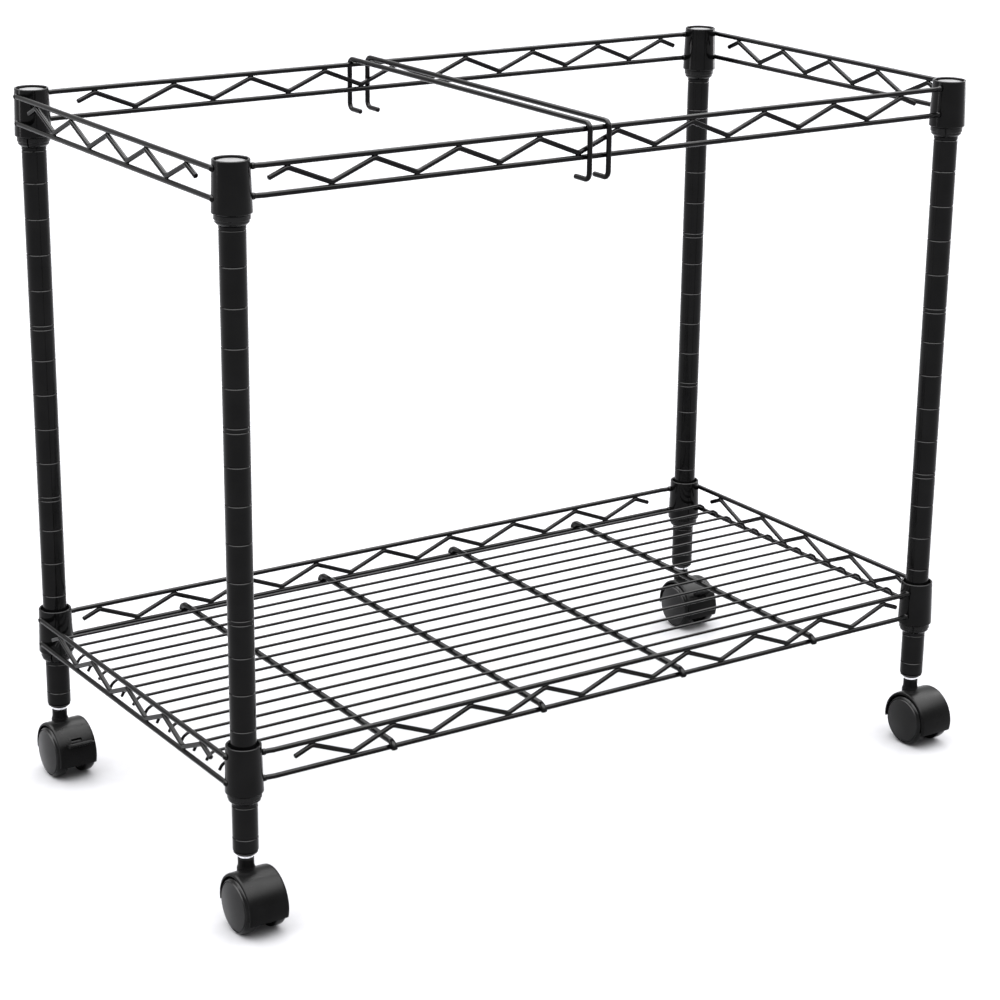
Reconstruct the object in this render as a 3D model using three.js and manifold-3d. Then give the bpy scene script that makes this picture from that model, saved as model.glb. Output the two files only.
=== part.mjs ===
// Rolling wire file cart: four grooved posts on twin-wheel casters, a top frame of
// trusses with two sliding file rods, and a wire deck shelf near the bottom.
// Millimetres, +Z up, origin on the floor under the centre of the overall box.
import * as THREE from "three";
import { mergeVertices } from "three/addons/utils/BufferGeometryUtils.js";
import Module from "manifold-3d";

const wasm = await Module();
wasm.setup();

// ---- driving dimensions ----------------------------------------------------------
const GAP = 0.3;                 // clearance between neighbouring pieces
const CUT_MARGIN = 1;            // how far a cutter runs past what it cuts
const FACETS = { post: 20, cap: 16, insert: 14, stem: 12, sleeve: 16, cope: 24, neck: 20 };
const WIRE_FACETS = { thick: 8, thin: 6 };
const POST_SPAN_X = 578.3;       // post axis to post axis, along the cart
const POST_SPAN_Y = 291.3;       // post axis to post axis, front to back
const CASTER_HEIGHT = 52;        // floor to the lower end of a post

// posts, caps and inserts (heights above the lower end of the post)
const POST_RADIUS = 8.6;
const POST_BORE = 7.4;
const POST_LENGTH = 452.9;
const CAP_RADIUS = 9.7;
const CAP_TOP = 455.5;
const CAP_PLUG_RADIUS = 7;
const CAP_PLUG_DEPTH = 8;
const INSERT_RADIUS = 7.1;
const INSERT_FLANGE_RADIUS = 8.3;
const INSERT_TIP_RADIUS = 6.6;
const INSERT_BORE = 4.3;
const INSERT_LENGTH = 24;
const INSERT_FLANGE = 2.3;
const INSERT_CHAMFER = 1.4;      // height of the flange's tapered tip

// corner collars and the split sleeves that wedge them onto the posts
const COLLAR_HEIGHT = 33;
const COLLAR_RADIUS_BOTTOM = 12.8;
const COLLAR_RADIUS_TOP = 11.8;
const COLLAR_WALL = 1.4;
const TOP_COLLAR_Z = 423.4;
const LOWER_COLLAR_Z = 42;
const SLEEVE_BORE = 8.9;
const SLEEVE_LIP_RADIUS = 11.4;
const SLEEVE_LIP = 7;
const SLEEVE_LENGTH = 29;
const SLEEVE_SLOT = 2;

// trusses: two rails with a zigzag wire welded between them
const RAIL_RADIUS = 1.8;
const RAIL_GAP = 18.5;           // rail centre to rail centre
const RAIL_END_INSET = 2;        // rail ends short of the post axes, before coping
const TOP_RAIL_Z = 451.3;        // upper rail of the top frame
const LOWER_RAIL_Z = 67.9;       // upper rail of the shelf
const ZIGZAG_RADIUS = 1.7;
const WELD_BITE = 0.4;           // how deep welded wires sink into each other
const LONG_RAIL_OFFSET = 4.6;    // front and back rails, outward from the post axes
const SIDE_RAIL_OFFSET = 12;     // side rails, outward from the post axes
const LONG_ZIGZAG = { peaks: 9, pitch: 61.6, tail: 13.5 };
const SIDE_ZIGZAG = { peaks: 5, pitch: 55.4, tail: 12.5 };
const TOP_ZIGZAG_SHIFT = -6.7;
const LOWER_ZIGZAG_SHIFT = 5.4;

// deck: thin wires along the cart on thicker cross bars
const BAR_RADIUS = 2.3;
const BAR_COUNT = 4;
const BAR_PITCH = 120.8;
const DECK_WIRE_RADIUS = 1.1;
const DECK_WIRE_COUNT = 15;
const DECK_WIRE_PITCH = 18.2;
const BAR_REACH = 5.4;           // how far a bar's end turns out past the long rail
const BAR_BEND = { out: 4, drop: 1.8 };
const BAR_DROP = 5;              // how far its end turns down
const DECK_WIRE_BEND = { inset: 9, drop: 0 };
const DECK_WIRE_KNEE = { inset: 5.4, drop: 2.2 };
const DECK_WIRE_FOOT = { inset: 3.5, lift: 2 };

// file rods: straddle the two long top rails and hook under the lower ones
const ROD_RADIUS = 1.8;
const ROD_POSITIONS = { left: -31.3, right: -16.1 };
const ROD_BEND = 2.4;            // size of the chamfered bend over a rail
const ROD_HOOK_DROP = 14.8;      // lower rail centre down to the hook's level leg
const ROD_HOOK_BEND = 3;
const ROD_HOOK_REACH = 12;       // leg's tip, inward from the rail

// twin-wheel casters (heights above the floor, measured from the swivel axis)
const WHEEL_RADIUS = 19;
const WHEEL_SIDES = 20;
const WHEEL_INNER = 7;
const WHEEL_OUTER = 17.6;
const WHEEL_EDGE = { in: 0.5, up: 0.6 };              // inner edge of the tread
const WHEEL_SHOULDER = 14;       // where the tread turns into the outer face
const WHEEL_DOME = [[17.4, 16], [10, 17.3]];          // outer face, radius and width
const AXLE_RADIUS = 2.5;
const AXLE_HALF = 14;
const AXLE_BORE = AXLE_RADIUS + GAP;
const CASTER_TRAIL = 10.5;
const HOOD_RADIUS = 22;
const HOOD_INNER = 20;
const HOOD_HALF = 14.5;
const HOOD_FRONT_ANGLE = -17;    // degrees above the horizontal, trailing side
const HOOD_BACK_ANGLE = 188;
const WEB_HALF = 6.3;
const WEB_FOOT = { radius: 7, angles: [215, 270, 325] };
const WEB_INSET = 3;             // degrees the web stays inside the hood's ends
const HOOD_STEPS = 14;
const NECK_BASE = 30;
const NECK_RADIUS = 5.45;
const NECK_TOP = CASTER_HEIGHT - 4.9;
const PINTLE_RADIUS = 3;
const PINTLE_DEPTH = 16.3;       // below the lower end of the post
const STEM_RING_RADIUS = 5.2;
const STEM_RING_HEIGHT = 2;
const STEM_THREAD_RADIUS = 4;
const STEM_THREAD_LENGTH = 20;

// brake levers of the two back casters (in the caster's side view)
const LEVER_RADIAL = 18.5;       // pivot distance from the hub
const LEVER_AZIMUTH = 32;        // pivot direction, degrees above the trailing side
const LEVER_UP = 50;             // arm direction of a released lever
const LEVER_DOWN = 14;           // arm direction of a pressed lever
const LEVER_HALF = 3.9;
const PEDAL_HALF = 10;
const PEDAL_START = 7;
const PEDAL_END = 13.5;
const PEDAL_THICKNESS = 2.4;
const LEVER_EYE = 2.8;
const TRUNNION_RADIUS = 1.25;
const TRUNNION_HALF = 5.8;
const TRUNNION_FACETS = 10;
const LEVER_SWING = { radius: 12, back: 2, margin: 14 };  // room cut for the lever's arc
const PEDAL_TAPER = 0.6;         // pedal tip's thickness as a share of its root's

// ---- geometry helpers ------------------------------------------------------------
const radians = THREE.MathUtils.degToRad;

// One closed, merged, outward-facing geometry that carries positions only.
function closed(source) {
  const bare = source.clone();
  bare.deleteAttribute("normal");
  bare.deleteAttribute("uv");
  const geometry = mergeVertices(bare, 1e-3);
  const index = Array.from(geometry.index.array);
  const p = geometry.attributes.position;
  const corner = (i) => new THREE.Vector3().fromBufferAttribute(p, i);
  const kept = [];
  let volume = 0;
  for (let i = 0; i < index.length; i += 3) {
    const [a, b, c] = index.slice(i, i + 3);
    if (a === b || b === c || c === a) continue;
    kept.push([a, b, c]);
    volume += corner(a).dot(corner(b).cross(corner(c)));
  }
  const wound = volume < 0 ? kept.map(([a, b, c]) => [a, c, b]) : kept;
  geometry.setIndex(wound.flat());
  return geometry;
}

function solid(source) {
  const geometry = closed(source);
  return new wasm.Manifold(new wasm.Mesh({
    numProp: 3,
    vertProperties: new Float32Array(geometry.attributes.position.array),
    triVerts: new Uint32Array(geometry.index.array),
  }));
}

function geometryOf(manifold) {
  const mesh = manifold.getMesh();
  const geometry = new THREE.BufferGeometry();
  geometry.setAttribute("position", new THREE.Float32BufferAttribute(mesh.vertProperties, 3));
  geometry.setIndex(Array.from(mesh.triVerts));
  return geometry;
}

function joined(first, ...others) {
  let result = solid(first);
  for (const other of others) result = result.add(solid(other));
  return geometryOf(result);
}

function cut(base, ...tools) {
  let result = solid(base);
  for (const tool of tools) result = result.subtract(solid(tool));
  return geometryOf(result);
}

// Solid of revolution about Z from [radius, height] points; phase turns its facets.
function lathe(profile, segments, phase = 0) {
  const loop = profile.map(([r, z]) => new THREE.Vector2(r, z));
  const ring = profile[0][0] > 0 || profile.at(-1)[0] > 0;
  if (ring) loop.push(loop[0].clone());
  return new THREE.LatheGeometry(loop, segments, phase).rotateX(Math.PI / 2);
}

function box(x0, x1, y0, y1, z0, z1) {
  return new THREE.BoxGeometry(x1 - x0, y1 - y0, z1 - z0)
    .translate((x0 + x1) / 2, (y0 + y1) / 2, (z0 + z1) / 2);
}

// Round bar along a flat bent path with mitred corners; normal is the path plane's.
function wire(points, radius, sides, normal) {
  const path = points.map((p) => new THREE.Vector3(...p));
  const heading = (i) => path[i + 1].clone().sub(path[i]).normalize();
  const positions = [];
  path.forEach((point, i) => {
    const before = heading(Math.max(i - 1, 0));
    const after = heading(Math.min(i, path.length - 2));
    const tangent = before.clone().add(after).normalize();
    const across = new THREE.Vector3().crossVectors(normal, tangent);
    const stretch = 1 / tangent.dot(after);
    for (let k = 0; k < sides; k += 1) {
      const angle = (2 * Math.PI * (k + 0.5)) / sides;
      const vertex = point.clone()
        .addScaledVector(across, radius * stretch * Math.cos(angle))
        .addScaledVector(normal, radius * Math.sin(angle));
      positions.push(vertex.x, vertex.y, vertex.z);
    }
  });
  const index = [];
  for (let i = 0; i < path.length - 1; i += 1) {
    for (let k = 0; k < sides; k += 1) {
      const a = i * sides + k;
      const b = i * sides + (k + 1) % sides;
      index.push(a, b, a + sides, b, b + sides, a + sides);
    }
  }
  const last = (path.length - 1) * sides;
  for (let k = 1; k < sides - 1; k += 1) {
    index.push(0, k + 1, k, last, last + k, last + k + 1);
  }
  const geometry = new THREE.BufferGeometry();
  geometry.setAttribute("position", new THREE.Float32BufferAttribute(positions, 3));
  geometry.setIndex(index);
  return geometry;
}

// Flat plate from a side-view outline of [forward, up] points, extruded along X.
function plate(outline, half) {
  const shape = new THREE.Shape(outline.map(([y, z]) => new THREE.Vector2(y, z)));
  return new THREE.ExtrudeGeometry(shape, { depth: 2 * half, bevelEnabled: false })
    .translate(0, 0, -half)
    .rotateY(Math.PI / 2)
    .rotateX(Math.PI / 2);
}

const ALONG = new THREE.Vector3(1, 0, 0);
const ACROSS = new THREE.Vector3(0, 1, 0);

// ---- materials -------------------------------------------------------------------
const finish = (color, roughness, metalness) =>
  new THREE.MeshStandardMaterial({ color, roughness, metalness });
const looks = {
  post: () => finish(0x1b1b1c, 0.35, 0.3),
  wire: () => finish(0x1e1e1f, 0.4, 0.3),
  plastic: () => finish(0x161617, 0.5, 0),
  cap: () => finish(0x6a6a6c, 0.5, 0),
  zinc: () => finish(0xc9cbcd, 0.3, 0.9),
  wheel: () => finish(0x2a2a2b, 0.45, 0),
};

const cart = new THREE.Group();
const frame = new THREE.Group();
cart.add(frame);

function place(group, name, geometry, look, x = 0, y = 0, z = 0, turn = 0) {
  const mesh = new THREE.Mesh(closed(geometry), look());
  mesh.name = name;
  mesh.position.set(x, y, z);
  mesh.rotation.z = turn;
  group.add(mesh);
  return mesh;
}

// ---- posts, caps, inserts --------------------------------------------------------
const postGeometry = lathe([
  [POST_BORE, 0],
  [POST_RADIUS, 0],
  [POST_RADIUS, POST_LENGTH],
  [POST_BORE, POST_LENGTH],
], FACETS.post);
const capGeometry = lathe([
  [0, POST_LENGTH - CAP_PLUG_DEPTH],
  [CAP_PLUG_RADIUS, POST_LENGTH - CAP_PLUG_DEPTH],
  [CAP_PLUG_RADIUS, POST_LENGTH + GAP],
  [CAP_RADIUS, POST_LENGTH + GAP],
  [CAP_RADIUS, CAP_TOP],
  [0, CAP_TOP],
], FACETS.cap);
const insertGeometry = lathe([
  [INSERT_BORE, -INSERT_FLANGE],
  [INSERT_TIP_RADIUS, -INSERT_FLANGE],
  [INSERT_FLANGE_RADIUS, INSERT_CHAMFER - INSERT_FLANGE],
  [INSERT_FLANGE_RADIUS, -GAP],
  [INSERT_RADIUS, -GAP],
  [INSERT_RADIUS, INSERT_LENGTH],
  [INSERT_BORE, INSERT_LENGTH],
], FACETS.insert);
const ringTop = -INSERT_FLANGE - GAP;
const stemGeometry = lathe([
  [0, -PINTLE_DEPTH],
  [PINTLE_RADIUS, -PINTLE_DEPTH],
  [PINTLE_RADIUS, ringTop - STEM_RING_HEIGHT],
  [STEM_RING_RADIUS, ringTop - STEM_RING_HEIGHT],
  [STEM_RING_RADIUS, ringTop],
  [STEM_THREAD_RADIUS, ringTop],
  [STEM_THREAD_RADIUS, STEM_THREAD_LENGTH],
  [0, STEM_THREAD_LENGTH],
], FACETS.stem);

// ---- collars and sleeves ---------------------------------------------------------
const collarTaper = (COLLAR_RADIUS_BOTTOM - COLLAR_RADIUS_TOP) / COLLAR_HEIGHT;
const collarGeometry = lathe([
  [COLLAR_RADIUS_BOTTOM - COLLAR_WALL, 0],
  [COLLAR_RADIUS_BOTTOM, 0],
  [COLLAR_RADIUS_TOP, COLLAR_HEIGHT],
  [COLLAR_RADIUS_TOP - COLLAR_WALL, COLLAR_HEIGHT],
], FACETS.post);
const wedgeRadius = (z) => COLLAR_RADIUS_BOTTOM - COLLAR_WALL - GAP - collarTaper * z;
const sleeveGeometry = cut(
  lathe([
    [SLEEVE_BORE, -SLEEVE_LIP],
    [SLEEVE_LIP_RADIUS, -SLEEVE_LIP],
    [SLEEVE_LIP_RADIUS, -GAP],
    [wedgeRadius(-GAP), -GAP],
    [wedgeRadius(SLEEVE_LENGTH), SLEEVE_LENGTH],
    [SLEEVE_BORE, SLEEVE_LENGTH],
  ], FACETS.sleeve),
  box(0, SLEEVE_LIP_RADIUS + CUT_MARGIN, -SLEEVE_SLOT / 2, SLEEVE_SLOT / 2,
    -SLEEVE_LIP - CUT_MARGIN, SLEEVE_LENGTH + CUT_MARGIN),
);

// ---- trusses ---------------------------------------------------------------------
// Built along X at y = 0 with the post axes at (+-span / 2, inset), the upper rail at
// z = 0, and both ends coped to the tapered collars: clearance is how far off them the
// rails stop, and a negative one sinks the rails in for a weld.
function truss(span, inset, zigzag, shift, collarBase, clearance) {
  const low = -RAIL_GAP;
  const reach = RAIL_RADIUS + ZIGZAG_RADIUS - WELD_BITE;
  const crest = -reach;
  const trough = low + reach;
  const half = (zigzag.peaks - 1) / 2;
  const slope = (crest - trough) / (zigzag.pitch / 2);
  const first = -half * zigzag.pitch + shift;
  const last = half * zigzag.pitch + shift;
  const points = [[first - zigzag.tail, 0, crest - slope * zigzag.tail]];
  for (let k = 0; k < zigzag.peaks; k += 1) {
    const x = first + k * zigzag.pitch;
    points.push([x, 0, crest]);
    if (k < zigzag.peaks - 1) points.push([x + zigzag.pitch / 2, 0, trough]);
  }
  points.push([last + zigzag.tail, 0, crest - slope * zigzag.tail]);
  const ends = span / 2 - RAIL_END_INSET;
  const rail = (z) => wire([[-ends, 0, z], [ends, 0, z]], RAIL_RADIUS,
    WIRE_FACETS.thick, ACROSS);
  const body = joined(rail(0), rail(low), wire(points, ZIGZAG_RADIUS,
    WIRE_FACETS.thin, ACROSS));
  const cope = (x) => new THREE.CylinderGeometry(
    COLLAR_RADIUS_TOP + clearance, COLLAR_RADIUS_BOTTOM + clearance, COLLAR_HEIGHT,
    FACETS.cope)
    .rotateX(Math.PI / 2)
    .translate(x, inset, collarBase + COLLAR_HEIGHT / 2);
  return cut(body, cope(-span / 2), cope(span / 2));
}

// A side truss with the collars of its two posts, welded into one piece.
function sideFrame(railZ, collarZ) {
  const base = collarZ - railZ;
  const rails = truss(
    POST_SPAN_Y, SIDE_RAIL_OFFSET, SIDE_ZIGZAG, 0, base, -COLLAR_WALL / 2);
  const collars = [-1, 1].map((end) =>
    collarGeometry.clone().translate((end * POST_SPAN_Y) / 2, SIDE_RAIL_OFFSET, base));
  return joined(rails, ...collars);
}

// ---- deck ------------------------------------------------------------------------
function deck() {
  const rail = LOWER_RAIL_Z - RAIL_GAP;
  const railY = POST_SPAN_Y / 2 + LONG_RAIL_OFFSET;
  const railX = POST_SPAN_X / 2 + SIDE_RAIL_OFFSET;
  const barZ = rail + RAIL_RADIUS + BAR_RADIUS + GAP;
  const wireZ = barZ + BAR_RADIUS + DECK_WIRE_RADIUS - WELD_BITE;
  const barHalf = [
    [railY, barZ],
    [railY + BAR_BEND.out, barZ - BAR_BEND.drop],
    [railY + BAR_REACH, barZ - BAR_DROP],
  ];
  const wireHalf = [
    [railX - DECK_WIRE_BEND.inset, wireZ - DECK_WIRE_BEND.drop],
    [railX - DECK_WIRE_KNEE.inset, wireZ - DECK_WIRE_KNEE.drop],
    [railX - DECK_WIRE_FOOT.inset, rail + DECK_WIRE_FOOT.lift],
  ];
  const mirrored = (half) => [...half.map(([a, z]) => [-a, z]).reverse(), ...half];
  const bars = [];
  for (let k = 0; k < BAR_COUNT; k += 1) {
    const x = (k - (BAR_COUNT - 1) / 2) * BAR_PITCH;
    const path = mirrored(barHalf).map(([y, z]) => [x, y, z]);
    bars.push(wire(path, BAR_RADIUS, WIRE_FACETS.thick, ALONG));
  }
  const wires = [];
  for (let k = 0; k < DECK_WIRE_COUNT; k += 1) {
    const y = (k - (DECK_WIRE_COUNT - 1) / 2) * DECK_WIRE_PITCH;
    const path = mirrored(wireHalf).map(([x, z]) => [x, y, z]);
    wires.push(wire(path, DECK_WIRE_RADIUS, WIRE_FACETS.thin, ACROSS));
  }
  return joined(...bars, ...wires);
}

// ---- file rods -------------------------------------------------------------------
function fileRod() {
  const railY = POST_SPAN_Y / 2 + LONG_RAIL_OFFSET;
  const clear = RAIL_RADIUS + ROD_RADIUS + GAP;
  const top = TOP_RAIL_Z + clear;
  const leg = TOP_RAIL_Z - RAIL_GAP - ROD_HOOK_DROP;
  const half = [
    [railY + clear - ROD_BEND, top],
    [railY + clear, top - ROD_BEND],
    [railY + clear, leg + ROD_HOOK_BEND],
    [railY + clear - ROD_HOOK_BEND, leg],
    [railY - ROD_HOOK_REACH, leg],
  ];
  const path = [...half.map(([y, z]) => [0, -y, z]).reverse(), ...half.map(([y, z]) => [0, y, z])];
  return wire(path, ROD_RADIUS, WIRE_FACETS.thick, ALONG);
}

// ---- casters ---------------------------------------------------------------------
const hub = { y: -CASTER_TRAIL, z: WHEEL_RADIUS };
// side-view point at a radius and an angle above the trailing (-Y) side of the hub
const around = (radius, degrees, centre = hub) => [
  centre.y - radius * Math.cos(radians(degrees)),
  centre.z + radius * Math.sin(radians(degrees)),
];
const sweep = (radius, from, to, steps) => Array.from({ length: steps + 1 },
  (_, i) => around(radius, from + ((to - from) * i) / steps));

function hood(braked) {
  const shell = plate([
    ...sweep(HOOD_RADIUS, HOOD_FRONT_ANGLE, HOOD_BACK_ANGLE, HOOD_STEPS),
    ...sweep(HOOD_INNER, HOOD_BACK_ANGLE, HOOD_FRONT_ANGLE, HOOD_STEPS),
  ], HOOD_HALF);
  const web = plate([
    ...sweep(HOOD_INNER + CUT_MARGIN, HOOD_FRONT_ANGLE + WEB_INSET,
      HOOD_BACK_ANGLE - WEB_INSET, HOOD_STEPS),
    ...WEB_FOOT.angles.map((angle) => around(WEB_FOOT.radius, angle)),
  ], WEB_HALF);
  const axleBore = new THREE.CylinderGeometry(AXLE_BORE, AXLE_BORE, 2 * WEB_HALF + CUT_MARGIN,
    FACETS.stem)
    .rotateZ(Math.PI / 2)
    .translate(0, hub.y, hub.z);
  const neck = new THREE.CylinderGeometry(NECK_RADIUS, NECK_RADIUS, NECK_TOP - NECK_BASE,
    FACETS.neck)
    .rotateX(Math.PI / 2)
    .translate(0, 0, (NECK_TOP + NECK_BASE) / 2);
  const boreFloor = CASTER_HEIGHT - PINTLE_DEPTH - GAP;
  const bore = new THREE.CylinderGeometry(
    PINTLE_RADIUS + GAP, PINTLE_RADIUS + GAP, NECK_TOP + CUT_MARGIN - boreFloor, FACETS.cap)
    .rotateX(Math.PI / 2)
    .translate(0, 0, (NECK_TOP + CUT_MARGIN + boreFloor) / 2);
  const body = cut(joined(shell, web, neck), bore, axleBore);
  if (!braked) return body;
  const [py, pz] = around(LEVER_RADIAL, LEVER_AZIMUTH);
  const pivot = { y: py, z: pz };
  const eye = new THREE.CylinderGeometry(
    LEVER_EYE + GAP, LEVER_EYE + GAP, 2 * (LEVER_HALF + GAP), FACETS.cap)
    .rotateZ(Math.PI / 2)
    .translate(0, py, pz);
  const swing = plate([
    around(LEVER_SWING.back, LEVER_AZIMUTH + 180, pivot),
    around(LEVER_SWING.radius, LEVER_DOWN - LEVER_SWING.margin, pivot),
    around(LEVER_SWING.radius, LEVER_UP + LEVER_SWING.margin, pivot),
  ], LEVER_HALF + GAP);
  const trunnionHole = new THREE.CylinderGeometry(
    TRUNNION_RADIUS + GAP, TRUNNION_RADIUS + GAP, 2 * WEB_HALF + CUT_MARGIN,
    TRUNNION_FACETS)
    .rotateZ(Math.PI / 2)
    .translate(0, py, pz);
  return cut(body, eye, swing, trunnionHole);
}

// Wheel on the +X side; the -X one is the same wheel turned half a turn.
const flatRadius = WHEEL_RADIUS / Math.cos(Math.PI / WHEEL_SIDES);
const wheelGeometry = lathe([
  [AXLE_BORE, WHEEL_INNER],
  [flatRadius - WHEEL_EDGE.in, WHEEL_INNER],
  [flatRadius, WHEEL_INNER + WHEEL_EDGE.up],
  [flatRadius, WHEEL_SHOULDER],
  ...WHEEL_DOME,
  [0, WHEEL_OUTER],
  [0, AXLE_HALF + GAP],
  [AXLE_BORE, AXLE_HALF + GAP],
], WHEEL_SIDES, Math.PI / WHEEL_SIDES).rotateY(Math.PI / 2);

const axleGeometry = new THREE.CylinderGeometry(AXLE_RADIUS, AXLE_RADIUS, 2 * AXLE_HALF,
  FACETS.stem)
  .rotateZ(Math.PI / 2);

function lever(angle) {
  const [py, pz] = around(LEVER_RADIAL, LEVER_AZIMUTH);
  const t = PEDAL_THICKNESS / 2;
  const armEnd = PEDAL_END - 1;
  const arm = plate([[0, -t], [armEnd, -t], [armEnd, t], [0, t]], LEVER_HALF);
  const pedal = plate(
    [[PEDAL_START, -t], [PEDAL_END, -t * PEDAL_TAPER], [PEDAL_END, t * PEDAL_TAPER], [PEDAL_START, t]],
    PEDAL_HALF);
  const eye = new THREE.CylinderGeometry(LEVER_EYE, LEVER_EYE, 2 * LEVER_HALF,
    FACETS.insert)
    .rotateZ(Math.PI / 2);
  const trunnion = new THREE.CylinderGeometry(
    TRUNNION_RADIUS, TRUNNION_RADIUS, 2 * TRUNNION_HALF, TRUNNION_FACETS)
    .rotateZ(Math.PI / 2);
  return joined(arm, pedal, eye, trunnion)
    .rotateX(Math.PI - radians(angle))
    .translate(0, py, pz);
}

// ---- assembly --------------------------------------------------------------------
const corners = [
  ["front_left", -1, -1],
  ["front_right", 1, -1],
  ["back_left", -1, 1],
  ["back_right", 1, 1],
];
const plainHood = hood(false);
const brakedHood = hood(true);
for (const [corner, sx, sy] of corners) {
  const x = (sx * POST_SPAN_X) / 2;
  const y = (sy * POST_SPAN_Y) / 2;
  const base = CASTER_HEIGHT;
  const slotTurn = Math.atan2(-sy, -sx);
  place(frame, `post_${corner}`, postGeometry, looks.post, x, y, base);
  place(frame, `post_cap_${corner}`, capGeometry, looks.cap, x, y, base);
  place(frame, `post_insert_${corner}`, insertGeometry, looks.plastic, x, y, base);
  for (const [level, z] of [["top", TOP_COLLAR_Z], ["shelf", LOWER_COLLAR_Z]]) {
    place(frame, `${level}_sleeve_${corner}`, sleeveGeometry, looks.plastic, x, y, base + z,
      slotTurn);
  }
  place(frame, `caster_stem_${corner}`, stemGeometry, looks.zinc, x, y, base);
  const braked = sy > 0;
  place(frame, `caster_hood_${corner}`, braked ? brakedHood : plainHood, looks.plastic, x, y);
  place(frame, `caster_axle_${corner}`, axleGeometry, looks.zinc,
    x, y - CASTER_TRAIL, WHEEL_RADIUS);
  for (const [side, turn] of [["left", Math.PI], ["right", 0]]) {
    place(frame, `caster_wheel_${side}_${corner}`, wheelGeometry, looks.wheel,
      x, y - CASTER_TRAIL, WHEEL_RADIUS, turn);
  }
  if (braked) {
    const angle = sx > 0 ? LEVER_UP : LEVER_DOWN;
    place(frame, `brake_lever_${corner}`, lever(angle), looks.plastic, x, y);
  }
}

const levels = [
  ["top", TOP_RAIL_Z, TOP_ZIGZAG_SHIFT, TOP_COLLAR_Z],
  ["shelf", LOWER_RAIL_Z, LOWER_ZIGZAG_SHIFT, LOWER_COLLAR_Z],
];
for (const [level, railZ, shift, collarZ] of levels) {
  const z = CASTER_HEIGHT + railZ;
  const long = truss(
    POST_SPAN_X, LONG_RAIL_OFFSET, LONG_ZIGZAG, shift, collarZ - railZ, GAP);
  const side = sideFrame(railZ, collarZ);
  const y = POST_SPAN_Y / 2 + LONG_RAIL_OFFSET;
  const x = POST_SPAN_X / 2 + SIDE_RAIL_OFFSET;
  place(frame, `${level}_truss_front`, long, looks.wire, 0, -y, z);
  place(frame, `${level}_truss_back`, long, looks.wire, 0, y, z, Math.PI);
  place(frame, `${level}_side_left`, side, looks.wire, -x, 0, z, -Math.PI / 2);
  place(frame, `${level}_side_right`, side, looks.wire, x, 0, z, Math.PI / 2);
}
place(frame, "shelf_deck", deck(), looks.wire, 0, 0, CASTER_HEIGHT);
for (const [side, x] of Object.entries(ROD_POSITIONS)) {
  place(frame, `file_rod_${side}`, fileRod(), looks.wire, x, 0, CASTER_HEIGHT);
}

// Centre the overall box over the origin: the casters all trail towards -Y.
frame.updateMatrixWorld(true);
const bounds = new THREE.Box3().setFromObject(frame, true);
frame.position.y = -(bounds.min.y + bounds.max.y) / 2;

export default cart;
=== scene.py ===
import math

import bmesh
import bpy
from mathutils import Matrix, Vector


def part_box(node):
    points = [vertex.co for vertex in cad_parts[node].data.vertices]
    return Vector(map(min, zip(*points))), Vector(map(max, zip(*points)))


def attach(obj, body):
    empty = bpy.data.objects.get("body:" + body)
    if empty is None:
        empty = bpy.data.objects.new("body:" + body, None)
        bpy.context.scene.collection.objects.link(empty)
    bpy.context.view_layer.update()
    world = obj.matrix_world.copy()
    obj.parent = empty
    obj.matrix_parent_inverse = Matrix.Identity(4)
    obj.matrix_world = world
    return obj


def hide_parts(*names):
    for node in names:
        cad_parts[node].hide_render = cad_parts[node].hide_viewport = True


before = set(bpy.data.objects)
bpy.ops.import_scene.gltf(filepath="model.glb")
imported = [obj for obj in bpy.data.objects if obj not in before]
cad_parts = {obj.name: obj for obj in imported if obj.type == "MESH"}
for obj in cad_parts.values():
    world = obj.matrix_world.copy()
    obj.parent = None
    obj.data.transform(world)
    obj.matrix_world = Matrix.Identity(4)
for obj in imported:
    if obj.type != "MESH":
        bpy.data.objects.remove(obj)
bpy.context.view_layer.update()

MM = 0.001
TURN = 2 * math.pi
GAP = 0.3 * MM
OCTAGON = math.cos(math.pi / 8)      # half height of an eight-sided bar over its radius
CUT_MARGIN = 1 * MM

# meshing
TINY = 1e-9
TUBE_CHAMFER = 0.35                  # of the wire's radius, taken off at each cut end
MITRE_LIMIT = 0.5                    # a bend's section never widens past 1 / this
CORNER_SHARE = 0.48                  # of a straight run, the most that one corner may take
SHARP_ANGLE = math.radians(30)       # softened() rounds edges that are sharper than this
BEVEL = {"segments": 2, "profile": 0.6}
SMOOTH_ANGLE = math.radians(32)      # and shading is smooth across edges flatter than this
SEGMENTS = {"half_sleeve": 28, "hood": 44, "neck": 36, "axle": 32, "wheel": 64, "bore": 24,
            "lever_eye": 28, "lever_pin": 20, "pin_hole": 16}

# posts and the fittings at their ends
GROOVE_FIRST = 416.35 * MM           # top groove above the post's lower end
GROOVE_PITCH = 25.4 * MM
GROOVE_COUNT = 17
GROOVE_PAIR_EVERY = 5                # every fifth groove has a second one below it
GROOVE_PAIR_DROP = 3.0 * MM
GROOVE_HALF = 0.55 * MM
GROOVE_DEPTH = 0.45 * MM
GROOVE_FLANK = {"out": 0.5, "deep": 0.7}     # a point on its side, in shares of both
POST_BORE = 7.4 * MM
POST_CHAMFER = 0.9 * MM
CAP_RADIUS = 9.7 * MM
CAP_PLUG = 7.0 * MM
CAP_PLUG_EDGE = 0.6 * MM
CAP_EDGE = 0.2 * MM
CAP_SHOULDER = [(0, 1.3), (0.3, 0.8), (1.0, 0.5)]    # mm in from the rim and below the top
CAP_CROWN = [(0.6, 0.2), (0.3, 0.05)]                # share of the radius, mm below the top
INSERT_TIP = 6.6 * MM
INSERT_BORE = 4.3 * MM
INSERT_RADIUS = 7.1 * MM
INSERT_CHAMFER = 1.4 * MM
INSERT_FLANGE = 2.3 * MM

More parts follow.
